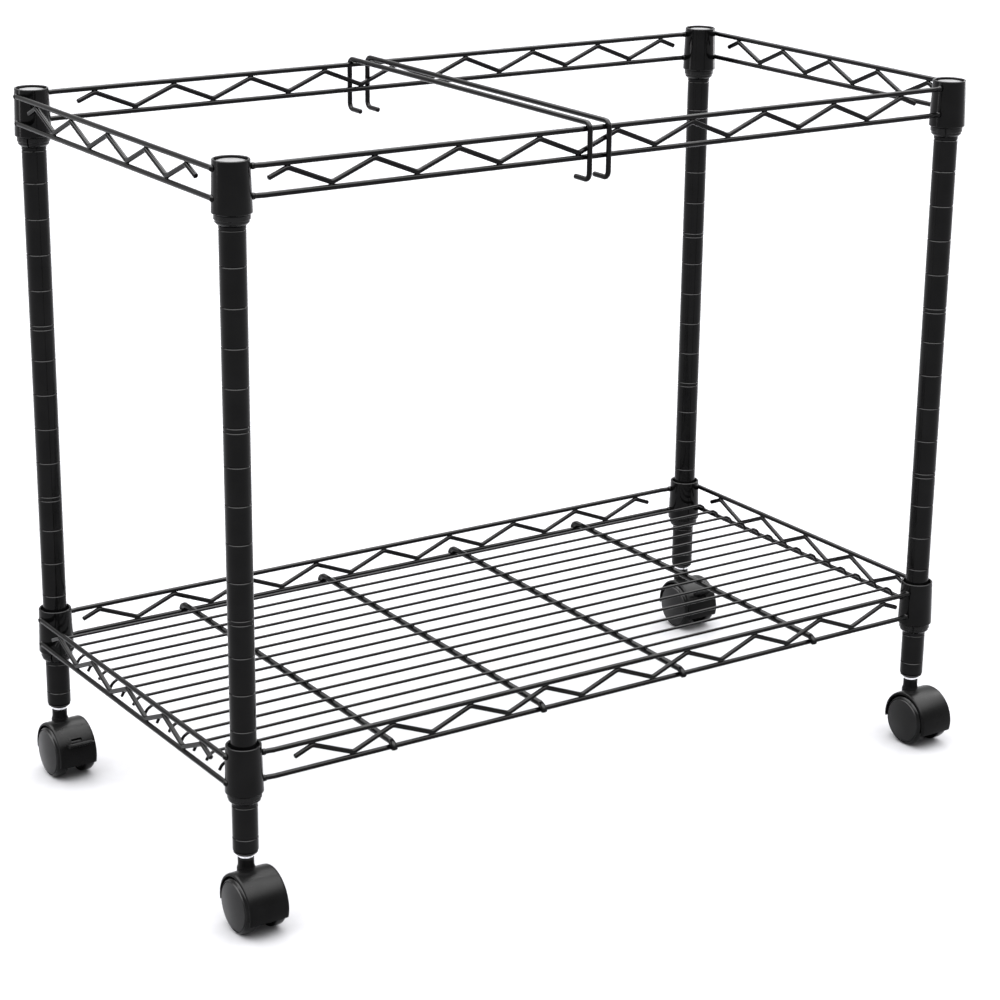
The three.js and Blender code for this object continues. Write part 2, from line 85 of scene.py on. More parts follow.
# collars and split sleeves
COLLAR_BOTTOM = 12.8 * MM
COLLAR_TOP = 11.8 * MM
COLLAR_WALL = 1.4 * MM
COLLAR_HEIGHT = 33 * MM
COLLAR_EDGE = 0.4 * MM
RAIL_END_RADIUS = COLLAR_BOTTOM - 1.0 * MM   # the long rails stop inside the collar's wall
SLEEVE_BORE = 8.9 * MM
SLEEVE_LIP = 7.0 * MM
SLEEVE_UPPER = 11.4 * MM
SLEEVE_LOWER = 10.7 * MM
SLEEVE_STEP = 3.6 * MM               # height of the lip's upper tier
SLEEVE_CHAMFER = 1.5 * MM
SLEEVE_EDGE = 0.35 * MM
SLEEVE_SEAM = 1.1 * MM               # open seam between the two half shells

# wires
RAIL_RADIUS = 1.8 * MM
ZIGZAG_RADIUS = 1.7 * MM
ZIGZAG_BEND = 5.0 * MM
WELD_BITE = 0.4 * MM
WELD_BEAD = {"long": 2.4 * MM, "wide": 1.1 * MM, "high": 0.6 * MM}
JOGGLE_LENGTH = 9.0 * MM
JOGGLE_STRAIGHT = 0.55               # share of that length before the wire steps over
JOGGLE_BEND = 6 * MM
JOGGLE = 0.7 * MM
SIDE_RAIL_INSET = 1.0 * MM           # a side rail stops this short of the posts' centres
FERRULE_SET = 1.8 * MM               # weld ferrule's middle, from the collar
FERRULE_LENGTH = 2.3 * MM
FERRULE_RADIUS = 2.25 * MM
FERRULE_MESH = {"around": 16, "stacks": 10}
LONG_ZIGZAG = {"peaks": 9, "pitch": 61.6 * MM, "tail": 13.5 * MM}
SIDE_ZIGZAG = {"peaks": 5, "pitch": 55.4 * MM, "tail": 12.5 * MM}
ZIGZAG_SHIFT = {"top": -6.7 * MM, "shelf": 5.4 * MM}
BAR_RADIUS = 2.3 * MM
BAR_COUNT = 4
BAR_PITCH = 120.8 * MM
DECK_RADIUS = 1.1 * MM
DECK_COUNT = 15
DECK_PITCH = 18.2 * MM
DECK_BEND = 4 * MM
DECK_BEAD = (1.5 * MM, 1.5 * MM, 0.7 * MM)
DECK_BEAD_MESH = {"around": 8, "stacks": 4}
DECK_WIRE_SIDES = 12
DECK_BEAD_DROP = 0.8                 # of the wire's radius
BAR_HOOK = [(0, 0), (4, -1.8), (5.4, -5)]    # mm out from the long rail, mm up from the bar
WIRE_HOOK = [(9, 0), (5.4, -2.2)]            # mm in from the side rail, mm up from the wire
WIRE_TIP = (3.5, 2)                          # mm in from the side rail, up from the low rail
ROD_RADIUS = 1.8 * MM
ROD_BEND = 4.5 * MM
ROD_REACH = 12 * MM

# casters
WHEEL_RIM = [                        # mm from the axle and mm across, inner face to tread
    (16.6, 7.0), (18.4, 7.1), (18.85, 7.5), (19.0, 8.3), (19.0, 12.6), (18.8, 13.6),
    (18.2, 14.5), (17.3, 15.3), (17.1, 15.3),
]
WHEEL_DISC = [                       # the groove inside the tread, then the domed disc
    (16.9, 15.0), (16.5, 15.0), (16.3, 15.5), (16.0, 15.8), (12.5, 16.5), (8.0, 17.1),
    (4.0, 17.45), (0, 17.6),
]
WHEEL_BORE = {"from": 7.0, "to": 14.3}       # mm across
TREAD_FROM = 16.7 * MM               # the wheel is tread outside this radius; these faces get the darker tread material, which also holds painted shade from the gap under the hood's rim
HOOD_INNER = 20 * MM
HOOD_SHOULDER = [(20.3, 14.5), (20.9, 14.45), (21.5, 14.1), (21.85, 13.4), (22, 12.4)]
HOOD_MOUTH_HALF = 14.2               # mm; the shoulder's points above are mm as well
HOOD_ANGLES = (-17, 188)             # degrees above the trailing side
WEB_HALF = 6.3 * MM
WEB_INSET = 3                        # degrees inside the hood's ends
WEB_OVERLAP = 0.6 * MM
WEB_STEPS = 24
WEB_FOOT = {"radius": 7 * MM, "angles": (215, 270, 325)}
NECK_RADIUS = 5.45 * MM
NECK_FILLET = [(0.9, 33), (0.7, 39.6), (0.3, 40.6), (0, 41.8)]   # mm wider, mm up
NECK_EDGE = 0.6 * MM
PINTLE_RADIUS = 3.0 * MM
PINTLE_ROOM = 20 * MM
RING_RADIUS = 5.2 * MM
RING_HEIGHT = 2.0 * MM
THREAD_RADIUS = 4.0 * MM
THREAD_COUNT = 14
STEM_EDGE = 0.35 * MM
AXLE_BORE = 2.8 * MM
AXLE_BORE_HALF = 8 * MM
AXLE_EDGE = 0.4 * MM
LEVER_RADIAL = 18.5 * MM
LEVER_AZIMUTH = 32
LEVER_HALF = 3.9 * MM
LEVER_EYE = 2.8 * MM
LEVER_ANGLES = {"back_left": 14, "back_right": 50}
LEVER_SWING = {"back": 2 * MM, "radius": 12 * MM, "angles": (0, 64)}
PEDAL = {"half": 10 * MM, "start": 7 * MM, "end": 13.5 * MM, "thick": 2.4 * MM,
         "taper": 0.6, "edge": 0.45 * MM}
ARM = {"short": 1 * MM, "edge": 0.3 * MM}
RIDGES = {"count": 3, "first": 1.6, "pitch": 1.7, "inset": 1.5 * MM, "radius": 0.4 * MM,
          "height": 0.8, "sides": 10}        # first and pitch in mm, height as a share
TRUNNION = {"radius": 1.25 * MM, "half": 5.8 * MM}

CORNERS = {
    "front_left": (-1, -1),
    "front_right": (1, -1),
    "back_left": (-1, 1),
    "back_right": (1, 1),
}


# ---- mesh building ------------------------------------------------------------------
class Shape:
    """Closed shells gathered into one mesh."""

    def __init__(self):
        self.verts = []
        self.faces = []

    def add(self, verts, faces):
        first = len(self.verts)
        self.verts += [Vector(v) for v in verts]
        self.faces += [[first + i for i in face] for face in faces]
        return self

    def turned(self, profile, centre, axis="Z", segments=48, start=0.0, sweep=TURN):
        """Revolves [radius, height] points. Ends on the axis close it, others form a ring."""
        full = abs(sweep - TURN) < TINY
        steps = segments if full else segments + 1
        rings, verts, faces = [], [], []
        for radius, height in profile:
            on_axis = radius < TINY
            ring = []
            for k in range(1 if on_axis else steps):
                angle = start + sweep * k / segments
                across, up = radius * math.cos(angle), radius * math.sin(angle)
                local = (across, up, height) if axis == "Z" else (height, across, up)
                ring.append(len(verts))
                verts.append(Vector(centre) + Vector(local))
            rings.append(ring)
        solid = len(rings[0]) == 1 and len(rings[-1]) == 1
        pairs = list(zip(rings, rings[1:])) + ([] if solid else [(rings[-1], rings[0])])
        for low, high in pairs:
            for k in range(segments):
                n = (k + 1) % steps
                if len(low) == 1 and len(high) == 1:
                    continue
                if len(low) == 1:
                    faces.append([low[0], high[n], high[k]])
                elif len(high) == 1:
                    faces.append([low[k], low[n], high[0]])
                else:
                    faces.append([low[k], low[n], high[n], high[k]])
        if not full:
            faces.append([ring[0] for ring in rings])
            faces.append([ring[-1] for ring in reversed(rings)])
        return self.add(verts, faces)

    def tube(self, path, radius, normal, sides=16):
        """Round wire along a flat path; normal is at right angles to the path's plane."""
        path = [Vector(p) for p in path]
        normal = Vector(normal)
        stations = []
        for i, point in enumerate(path):
            before = (path[max(i, 1)] - path[max(i, 1) - 1]).normalized()
            j = min(i, len(path) - 2)
            after = (path[j + 1] - path[j]).normalized()
            tangent = (before + after).normalized()
            stations.append((point, tangent, 1 / max(tangent.dot(after), MITRE_LIMIT), radius))
        cut = TUBE_CHAMFER * radius
        first, last = stations[0], stations[-1]
        stations = [
            (first[0], first[1], 1, radius - cut),
            (first[0] + first[1] * cut, first[1], 1, radius),
            *stations[1:-1],
            (last[0] - last[1] * cut, last[1], 1, radius),
            (last[0], last[1], 1, radius - cut),
        ]
        verts, faces = [], []
        for point, tangent, stretch, size in stations:
            across = normal.cross(tangent)
            for k in range(sides):
                angle = TURN * (k + 0.5) / sides
                verts.append(point + across * (size * stretch * math.cos(angle))
                             + normal * (size * math.sin(angle)))
        for i in range(len(stations) - 1):
            for k in range(sides):
                a, b = i * sides + k, i * sides + (k + 1) % sides
                faces.append([a, b, b + sides, a + sides])
        end = (len(stations) - 1) * sides
        faces.append(list(range(sides))[::-1])
        faces.append([end + k for k in range(sides)])
        return self.add(verts, faces)

    def bead(self, centre, size, around=10, stacks=6):
        """Weld bead or ferrule: a squashed ball of the given half sizes."""
        verts = [Vector(centre) + Vector((0, 0, -size[2]))]
        for j in range(1, stacks):
            tilt = math.pi * j / stacks
            for k in range(around):
                turn = TURN * k / around
                verts.append(Vector(centre) + Vector((
                    size[0] * math.sin(tilt) * math.cos(turn),
                    size[1] * math.sin(tilt) * math.sin(turn),
                    -size[2] * math.cos(tilt))))
        verts.append(Vector(centre) + Vector((0, 0, size[2])))
        top = len(verts) - 1

        def ring(j, k):
            return 1 + (j - 1) * around + k % around

        faces = [[0, ring(1, k + 1), ring(1, k)] for k in range(around)]
        faces += [[ring(stacks - 1, k), ring(stacks - 1, k + 1), top] for k in range(around)]
        for j in range(1, stacks - 1):
            for k in range(around):
                faces.append([ring(j, k), ring(j, k + 1), ring(j + 1, k + 1), ring(j + 1, k)])
        return self.add(verts, faces)

    def prism(self, outline, x, half):
        """Side-view outline of (y, z) points, extruded across X."""
        count = len(outline)
        verts = [(x - half, y, z) for y, z in outline] + [(x + half, y, z) for y, z in outline]
        faces = [list(range(count)), list(range(count, 2 * count))[::-1]]
        for k in range(count):
            n = (k + 1) % count
            faces.append([k, n, n + count, k + count])
        return self.add(verts, faces)

    def mesh(self, name):
        """The shells as one Blender mesh with its faces pointing out."""
        data = bpy.data.meshes.new(name)
        data.from_pydata([tuple(v) for v in self.verts], [], self.faces)
        work = bmesh.new()
        work.from_mesh(data)
        bmesh.ops.recalc_face_normals(work, faces=work.faces)
        work.to_mesh(data)
        work.free()
        return data

    def softened(self, width):
        """The same shells with every sharp edge rounded by width."""
        work = bmesh.new()
        work.from_mesh(self.mesh("soft"))
        sharp = [e for e in work.edges
                 if e.is_manifold and e.calc_face_angle() > SHARP_ANGLE]
        bmesh.ops.bevel(work, geom=sharp, offset=width, affect="EDGES",
                        clamp_overlap=True, **BEVEL)
        work.verts.index_update()
        result = Shape().add([v.co.copy() for v in work.verts],
                             [[v.index for v in f.verts] for f in work.faces])
        work.free()
        return result

    def carved(self, *cutters):
        """The shells with each cutter's volume taken out."""
        base = bpy.data.objects.new("carve", self.mesh("carve"))
        bpy.context.collection.objects.link(base)
        tools = []
        for cutter in cutters:
            tool = bpy.data.objects.new("cutter", cutter.mesh("cutter"))
            bpy.context.collection.objects.link(tool)
            modifier = base.modifiers.new("cut", "BOOLEAN")
            modifier.operation = "DIFFERENCE"
            modifier.solver = "EXACT"
            modifier.object = tool
            tools.append(tool)
        bpy.context.view_layer.update()
        result = base.evaluated_get(bpy.context.evaluated_depsgraph_get()).to_mesh()
        carved = Shape().add([v.co.copy() for v in result.vertices],
                             [list(p.vertices) for p in result.polygons])
        for item in [base, *tools]:
            bpy.data.objects.remove(item)
        return carved

    def joined(self, other):
        return self.add(other.verts, other.faces)


def rounded(points, radius, steps=6):
    """The path with each inner corner turned into an arc."""
    points = [Vector(p) for p in points]
    path = [points[0]]
    for before, corner, after in zip(points, points[1:], points[2:]):
        a, b = (before - corner).normalized(), (after - corner).normalized()
        half = math.acos(max(-1, min(1, a.dot(b)))) / 2
        reach = min(radius / math.tan(half), CORNER_SHARE * (before - corner).length,
                    CORNER_SHARE * (after - corner).length)
        size = reach * math.tan(half)
        centre = corner + (a + b).normalized() * (size / math.sin(half))
        start = (corner + a * reach - centre).normalized()
        end = (corner + b * reach - centre).normalized()
        path += [centre + start.slerp(end, k / steps) * size for k in range(steps + 1)]
    path.append(points[-1])
    return path


# ---- materials ----------------------------------------------------------------------
MOTTLE = {"scale": 60, "detail": 4, "from": 0.35, "to": 0.65}
SHEEN = {"scale": 140, "detail": 3}
RELIEF = {"detail": 2, "depth": 0.1 * MM}


def grey(value):
    """Very slightly cool grey."""
    return (value, value, value * 1.03, 1)


def finish(name, tones, roughness, ior, grain, bump, metallic=0.0):
    """Principled material: colour, roughness and bump vary with noise in object space."""
    material = bpy.data.materials.new(name)
    material.use_nodes = True
    nodes, links = material.node_tree.nodes, material.node_tree.links
    shader = nodes["Principled BSDF"]
    shader.inputs["IOR"].default_value = ior
    shader.inputs["Metallic"].default_value = metallic
    place = nodes.new("ShaderNodeTexCoord")

    def noise(scale, detail):
        node = nodes.new("ShaderNodeTexNoise")
        node.inputs["Scale"].default_value = scale
        node.inputs["Detail"].default_value = detail
        links.new(place.outputs["Object"], node.inputs["Vector"])
        return node.outputs["Fac"]

    mottle = nodes.new("ShaderNodeValToRGB")
    for element, position, tone in zip(mottle.color_ramp.elements,
                                       (MOTTLE["from"], MOTTLE["to"]), tones):
        element.position = position
        element.color = grey(tone)
    links.new(noise(MOTTLE["scale"], MOTTLE["detail"]), mottle.inputs["Fac"])
    links.new(mottle.outputs["Color"], shader.inputs["Base Color"])

    sheen = nodes.new("ShaderNodeMapRange")
    sheen.inputs["To Min"].default_value = roughness[0]
    sheen.inputs["To Max"].default_value = roughness[1]
    links.new(noise(SHEEN["scale"], SHEEN["detail"]), sheen.inputs["Value"])
    links.new(sheen.outputs["Result"], shader.inputs["Roughness"])

    relief = nodes.new("ShaderNodeBump")
    relief.inputs["Strength"].default_value = bump
    relief.inputs["Distance"].default_value = RELIEF["depth"]
    links.new(noise(grain, RELIEF["detail"]), relief.inputs["Height"])
    links.new(relief.outputs["Normal"], shader.inputs["Normal"])
    return material


# darkest and lightest tone, least and most roughness, IOR, grain of the bump, its strength
LOOKS = {slot: finish(slot, *look) for slot, look in {
    "post_coat": ((0.0008, 0.0016), (0.08, 0.14), 1.19, 700, 0.12),
    "wire_coat": ((0.0006, 0.0014), (0.09, 0.16), 1.19, 900, 0.12),
    "sleeve_plastic": ((0.0012, 0.0026), (0.22, 0.32), 1.24, 1800, 0.2),
    "cap_plastic": ((0.050, 0.068), (0.30, 0.42), 1.45, 1600, 0.3),
    "plug_plastic": ((0.006, 0.010), (0.4, 0.5), 1.4, 1500, 0.3),
    "zinc": ((0.70, 0.82), (0.14, 0.26), 1.5, 1200, 0.15, 1.0),
    "hood_plastic": ((0.0006, 0.0013), (0.24, 0.34), 1.16, 1700, 0.25),
    "wheel_plastic": ((0.0024, 0.0040), (0.26, 0.36), 1.24, 1500, 0.3),
}.items()}
# Darker, glossier copy of the wheel's plastic for the tread: partly the tread's own glossy black,
# partly painted shade from the gap between the wheel and the hood's rim.
DARK_SHADED_TREAD = finish("wheel_tread_dark_and_shaded", (0.0008, 0.0016), (0.12, 0.20), 1.21, 1500, 0.15)


def piece(node, shape, slot, body):
    """One finished piece that stands for one CAD node."""
    data = shape.mesh(f"{node}.fine")
    data.shade_smooth()
    data.set_sharp_from_angle(angle=SMOOTH_ANGLE)
    data.materials.append(LOOKS[slot])
    item = bpy.data.objects.new(f"{node}.fine", data)
    bpy.context.collection.objects.link(item)
    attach(item, body)
    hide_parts(node)
    return item


def centre_of(node):
    low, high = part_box(node)
    return (low + high) / 2


# ---- posts, caps, inserts, stems ----------------------------------------------------
def make_post(corner):
    """Tube with a groove at every pitch, and a second one below each fifth."""
    node = f"post_{corner}"
    low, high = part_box(node)
    axis = centre_of(node)
    radius = (high.x - low.x) / 2
    length = high.z - low.z
    grooves = []
    for k in range(GROOVE_COUNT):
        z = GROOVE_FIRST - k * GROOVE_PITCH
        grooves.append(z)
        if k % GROOVE_PAIR_EVERY == 0 and z - GROOVE_PAIR_DROP > POST_CHAMFER:
            grooves.append(z - GROOVE_PAIR_DROP)
    profile = [(POST_BORE, 0), (radius - POST_CHAMFER, 0), (radius, POST_CHAMFER)]
    flank = (radius - GROOVE_FLANK["deep"] * GROOVE_DEPTH, GROOVE_FLANK["out"] * GROOVE_HALF)
    for z in sorted(grooves):
        if z - GROOVE_HALF <= POST_CHAMFER:
            continue
        profile += [
            (radius, z - GROOVE_HALF),
            (flank[0], z - flank[1]),
            (radius - GROOVE_DEPTH, z),
            (flank[0], z + flank[1]),
            (radius, z + GROOVE_HALF),
        ]
    profile += [(radius, length), (POST_BORE, length)]
    shape = Shape().turned(profile, (axis.x, axis.y, low.z))
    piece(node, shape, "post_coat", "frame")


def make_cap(corner):
    """Flat domed button with the plug that fills the tube below it."""
    node = f"post_cap_{corner}"
    low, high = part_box(node)
    axis = centre_of(node)
    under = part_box(f"post_{corner}")[1].z + GAP
    profile = [
        (0, low.z), (CAP_PLUG - CAP_PLUG_EDGE, low.z), (CAP_PLUG, low.z + CAP_PLUG_EDGE),
        (CAP_PLUG, under), (CAP_RADIUS - CAP_EDGE, under), (CAP_RADIUS, under + CAP_EDGE),
        *[(CAP_RADIUS - inset * MM, high.z - down * MM) for inset, down in CAP_SHOULDER],
        *[(share * CAP_RADIUS, high.z - down * MM) for share, down in CAP_CROWN],
        (0, high.z),
    ]
    piece(node, Shape().turned(profile, (axis.x, axis.y, 0)), "cap_plastic", "frame")


def make_insert(corner):
    """Flanged bush in the lower end of the post."""
    node = f"post_insert_{corner}"
    low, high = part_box(node)
    axis = centre_of(node)
    flange = (high.x - low.x) / 2
    seat = low.z + INSERT_FLANGE - GAP
    profile = [
        (INSERT_BORE, low.z), (INSERT_TIP, low.z), (flange, low.z + INSERT_CHAMFER),
        (flange, seat), (INSERT_RADIUS, seat), (INSERT_RADIUS, high.z), (INSERT_BORE, high.z),
    ]
    piece(node, Shape().turned(profile, (axis.x, axis.y, 0)), "plug_plastic", "frame")


def make_stem(corner):
    """Pintle below, stop ring in the middle, ribbed thread above."""
    node = f"caster_stem_{corner}"
    low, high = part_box(node)
    axis = centre_of(node)
    ring_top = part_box(f"post_insert_{corner}")[0].z - GAP
    ring_low = ring_top - RING_HEIGHT
    edge = STEM_EDGE
    profile = [
        (0, low.z), (PINTLE_RADIUS - edge, low.z), (PINTLE_RADIUS, low.z + edge),
        (PINTLE_RADIUS, ring_low), (RING_RADIUS - edge, ring_low),
        (RING_RADIUS, ring_low + edge), (RING_RADIUS, ring_top - edge),
        (RING_RADIUS - edge, ring_top), (THREAD_RADIUS - edge, ring_top),
    ]
    for k in range(THREAD_COUNT):
        z = ring_top + edge + (high.z - edge - ring_top) * k / THREAD_COUNT
        profile += [(THREAD_RADIUS - edge, z), (THREAD_RADIUS, z + 2 * edge)]
    profile += [(THREAD_RADIUS - 2 * edge, high.z), (0, high.z)]
    piece(node, Shape().turned(profile, (axis.x, axis.y, 0)), "zinc", "frame")


def make_sleeve(level, corner):
    """Two half shells, with the open seams between them across the cart's diagonal."""
    node = f"{level}_sleeve_{corner}"
    low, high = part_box(node)
    post = centre_of(f"post_{corner}")
    lip_top = low.z + SLEEVE_LIP - GAP
    taper = (COLLAR_BOTTOM - COLLAR_TOP) / COLLAR_HEIGHT
    wedge = COLLAR_BOTTOM - COLLAR_WALL - GAP
    edge = SLEEVE_EDGE
    step = lip_top - SLEEVE_STEP
    profile = [
        (SLEEVE_BORE, low.z), (SLEEVE_LOWER - SLEEVE_CHAMFER, low.z),
        (SLEEVE_LOWER, low.z + SLEEVE_CHAMFER), (SLEEVE_LOWER, step),
        (SLEEVE_UPPER - edge, step), (SLEEVE_UPPER, step + edge),
        (SLEEVE_UPPER, lip_top - edge), (SLEEVE_UPPER - edge, lip_top),
        (wedge, lip_top), (wedge - taper * (high.z - lip_top), high.z), (SLEEVE_BORE, high.z),
    ]
    sx, sy = CORNERS[corner]
    across = math.atan2(-sy, -sx) + math.pi / 2
    seam = SLEEVE_SEAM / SLEEVE_UPPER
    shape = Shape()
    for half in (0, math.pi):
        shape.turned(profile, (post.x, post.y, 0), segments=SEGMENTS["half_sleeve"],
                     start=across + half + seam / 2, sweep=math.pi - seam)
    piece(node, shape, "sleeve_plastic", "frame")


# ---- trusses ------------------------------------------------------------------------
def rail_heights(level):
    """Heights of the upper and the lower rail's middle."""
    low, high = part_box(f"{level}_truss_front")
    return high.z - RAIL_RADIUS * OCTAGON, low.z + RAIL_RADIUS * OCTAGON


def zigzag(shape, at, level_z, plan, shift, normal):
    """Bent wire welded between two rails; at(u, z) maps along-the-rail to a point."""
    upper, lower = level_z
    reach = RAIL_RADIUS + ZIGZAG_RADIUS - WELD_BITE
    crest, trough = upper - reach, lower + reach
    first = -(plan["peaks"] - 1) / 2 * plan["pitch"] + shift
    last = first + (plan["peaks"] - 1) * plan["pitch"]
    fall = (crest - trough) / (plan["pitch"] / 2) * plan["tail"]
    points = [at(first - plan["tail"], crest - fall)]
    welds = []
    for k in range(plan["peaks"]):
        u = first + k * plan["pitch"]
        points.append(at(u, crest))
        welds.append(at(u, upper - RAIL_RADIUS))
        if k < plan["peaks"] - 1:
            points.append(at(u + plan["pitch"] / 2, trough))
            welds.append(at(u + plan["pitch"] / 2, lower + RAIL_RADIUS))
    points.append(at(last + plan["tail"], crest - fall))
    shape.tube(rounded(points, ZIGZAG_BEND), ZIGZAG_RADIUS, normal)
    long, wide, high = WELD_BEAD["long"], WELD_BEAD["wide"], WELD_BEAD["high"]
    size = (long, wide, high) if normal[1] else (wide, long, high)
    for weld in welds:
        shape.bead(weld, size)


def make_long_truss(level, side):
    """Two rails that step inwards to reach the collars, with a zigzag between them."""
    node = f"{level}_truss_{side}"
    y = centre_of(node).y
    heights = rail_heights(level)
    left, right = (centre_of(f"post_{side}_{end}") for end in ("left", "right"))
    outward = -1 if side == "front" else 1
    stop = math.sqrt(RAIL_END_RADIUS ** 2 - (y - left.y) ** 2)
    x0, x1 = left.x + stop, right.x - stop
    inner = y - outward * JOGGLE
    straight = JOGGLE_STRAIGHT * JOGGLE_LENGTH
    shape = Shape()
    for z in heights:
        path = [
            (x0, inner, z), (x0 + straight, inner, z), (x0 + JOGGLE_LENGTH, y, z),
            (x1 - JOGGLE_LENGTH, y, z), (x1 - straight, inner, z), (x1, inner, z),
        ]
        shape.tube(rounded(path, JOGGLE_BEND, 3), RAIL_RADIUS, (0, 0, 1))
        for x in (x0 + FERRULE_SET, x1 - FERRULE_SET):
            shape.bead((x, inner, z), (FERRULE_LENGTH, FERRULE_RADIUS, FERRULE_RADIUS),
                       **FERRULE_MESH)
    shift = ZIGZAG_SHIFT[level] * (1 if side == "front" else -1)
    zigzag(shape, lambda u, z: Vector((u, y, z)), heights, LONG_ZIGZAG, shift, (0, 1, 0))
    piece(node, shape, "wire_coat", "frame")


def collar_profile(low, high):
    """Section of a collar's wall, which is wider at its lower end."""
    edge = COLLAR_EDGE
    inner_low, inner_high = COLLAR_BOTTOM - COLLAR_WALL, COLLAR_TOP - COLLAR_WALL
    return [
        (inner_low, low), (COLLAR_BOTTOM - edge, low), (COLLAR_BOTTOM, low + edge),
        (COLLAR_TOP, high - edge), (COLLAR_TOP - edge, high),
        (inner_high + edge, high), (inner_high, high - edge),
    ]


def make_side_frame(level, side):
    """Two collars joined by a pair of rails with a zigzag between them."""
    node = f"{level}_side_{side}"
    low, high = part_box(node)
    outward = -1 if side == "left" else 1
    outer = low.x if side == "left" else high.x
    x = outer - outward * RAIL_RADIUS * OCTAGON
    front, back = (centre_of(f"post_{end}_{side}") for end in ("front", "back"))
    heights = rail_heights(level)
    shape = Shape()
    for post in (front, back):
        shape.turned(collar_profile(low.z, high.z), (post.x, post.y, 0))
    middle = (front.y + back.y) / 2
    half = (back.y - front.y) / 2
    end = half - SIDE_RAIL_INSET
    clear = math.sqrt(max(RAIL_END_RADIUS ** 2 - (x - front.x) ** 2, 0)) + FERRULE_SET
    ferrule = half - clear
    for z in heights:
        path = [(x, middle - end, z), (x, middle + end, z)]
        shape.tube(path, RAIL_RADIUS, (0, 0, 1))
        for y in (middle - ferrule, middle + ferrule):
            shape.bead((x, y, z), (FERRULE_RADIUS, FERRULE_LENGTH, FERRULE_RADIUS),
                       **FERRULE_MESH)
    zigzag(shape, lambda u, z: Vector((x, middle + u, z)), heights, SIDE_ZIGZAG, 0, (1, 0, 0))
    piece(node, shape, "wire_coat", "frame")


# ---- deck and file rods -------------------------------------------------------------
def mirrored(half):
    """A path from its right half of (offset, height) points."""
    return [(-offset, height) for offset, height in reversed(half)] + half


def make_deck():
    """Cross bars on the lower rails, and thin wires over them hooked at both ends."""
    lower = rail_heights("shelf")[1]
    front = centre_of("shelf_truss_front").y
    back = centre_of("shelf_truss_back").y
    middle = (front + back) / 2
    rail_y = (back - front) / 2
    rail_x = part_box("shelf_side_right")[1].x - RAIL_RADIUS * OCTAGON
    bar_z = lower + RAIL_RADIUS + BAR_RADIUS + GAP
    wire_z = bar_z + BAR_RADIUS + DECK_RADIUS - WELD_BITE
    shape = Shape()
    bar = [(rail_y + out * MM, bar_z + up * MM) for out, up in BAR_HOOK]
    wire = [(rail_x - inset * MM, wire_z + up * MM) for inset, up in WIRE_HOOK]
    wire.append((rail_x - WIRE_TIP[0] * MM, lower + WIRE_TIP[1] * MM))
    bars = [(k - (BAR_COUNT - 1) / 2) * BAR_PITCH for k in range(BAR_COUNT)]
    wires = [middle + (k - (DECK_COUNT - 1) / 2) * DECK_PITCH for k in range(DECK_COUNT)]
    for x in bars:
        path = rounded([(x, middle + y, z) for y, z in mirrored(bar)], DECK_BEND)
        shape.tube(path, BAR_RADIUS, (1, 0, 0))
    for y in wires:
        path = rounded([(x, y, z) for x, z in mirrored(wire)], DECK_BEND)
        shape.tube(path, DECK_RADIUS, (0, 1, 0), sides=DECK_WIRE_SIDES)
        for x in bars:
            shape.bead((x, y, wire_z - DECK_BEAD_DROP * DECK_RADIUS), DECK_BEAD,
                       **DECK_BEAD_MESH)
    piece("shelf_deck", shape, "wire_coat", "frame")


def make_rod(side):
    """Rod across the top frame, bent down and under the rails at both ends."""
    node = f"file_rod_{side}"
    low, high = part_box(node)
    middle = (low + high) / 2
    upright = high.y - middle.y - ROD_RADIUS * OCTAGON
    top = high.z - ROD_RADIUS * OCTAGON
    leg = low.z + ROD_RADIUS * OCTAGON
    tip = abs(centre_of("top_truss_front").y - middle.y) - ROD_REACH
    ends = mirrored([(upright, top), (upright, leg), (tip, leg)])
    path = rounded([(middle.x, middle.y + y, z) for y, z in ends], ROD_BEND)
    piece(node, Shape().tube(path, ROD_RADIUS, (1, 0, 0)), "wire_coat", f"rod_{side}")


# ---- casters ------------------------------------------------------------------------
def around(hub, radius, degrees):
    """(y, z) of a point about the hub; 0 degrees is the trailing side, 90 is up."""
    angle = math.radians(degrees)
    return (hub.y - radius * math.cos(angle), hub.z + radius * math.sin(angle))


def lever_pivot(hub):
    return Vector((hub.x, *around(hub, LEVER_RADIAL, LEVER_AZIMUTH)))


def lever_cutters(hub):
    """Room in the hood for the lever's eye, its pin and the arc of its arm."""
    pivot = lever_pivot(hub)
    half = LEVER_HALF + GAP
    eye = [(0, -half), (LEVER_EYE + GAP, -half), (LEVER_EYE + GAP, half), (0, half)]
    room = Shape().prism([
        around(pivot, LEVER_SWING["back"], LEVER_AZIMUTH + 180),
        *[around(pivot, LEVER_SWING["radius"], angle) for angle in LEVER_SWING["angles"]],
    ], hub.x, half)
    pin = TRUNNION["radius"] + GAP
    reach = TRUNNION["half"] + CUT_MARGIN
    hole = Shape().turned([(0, -reach), (pin, -reach), (pin, reach), (0, reach)],
                          pivot, axis="X", segments=SEGMENTS["pin_hole"])
    return [Shape().turned(eye, pivot, axis="X", segments=SEGMENTS["bore"]), room, hole]


